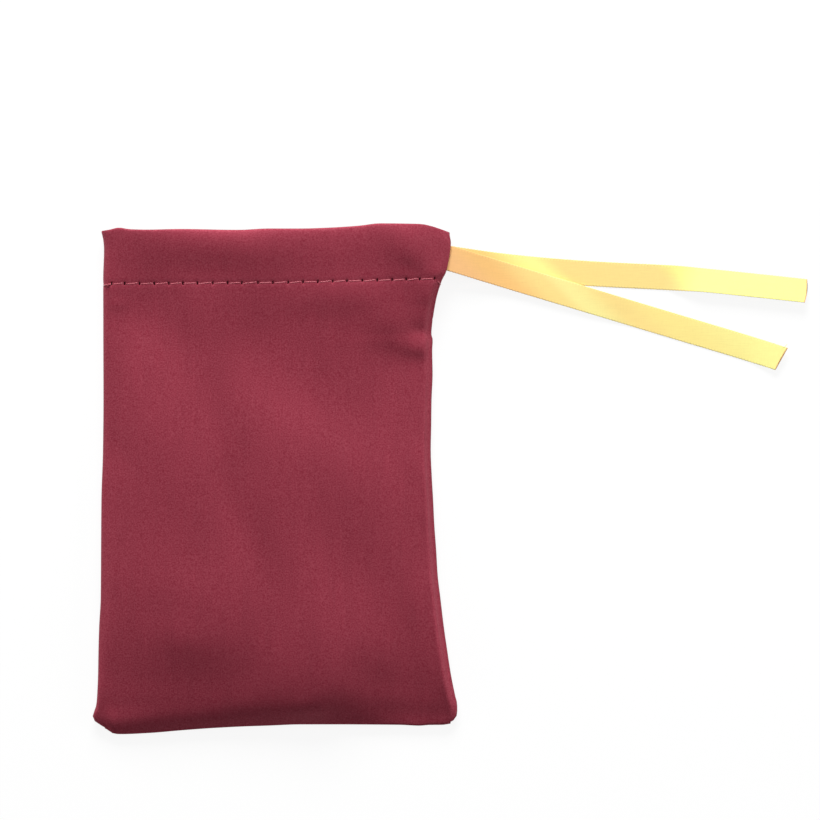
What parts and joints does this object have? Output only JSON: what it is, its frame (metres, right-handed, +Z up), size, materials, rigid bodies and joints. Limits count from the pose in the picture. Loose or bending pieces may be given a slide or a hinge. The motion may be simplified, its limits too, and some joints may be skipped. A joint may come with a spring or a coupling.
{
  "type": "gift pouch",
  "caption": "Flat satin gift pouch with a hemmed casing at its mouth and a ribbon drawstring whose two loose ends leave at one side.",
  "frame": {"origin": "under the middle of the pouch, on the surface that its back lies on; the ribbon is not counted", "axes": "+Z up through the front of the pouch, +Y to its mouth, +X to the side where the ribbon leaves"},
  "size_m": [0.1781, 0.1272, 0.0089],
  "materials": {
    "satin": "burgundy satin with a soft sheen",
    "ribbon": "pale yellow satin ribbon with woven edges"
  },
  "bodies": {
    "root": {"pouch_shell": "satin", "drawstring_ribbon": "ribbon"}
  },
  "joints": []
}
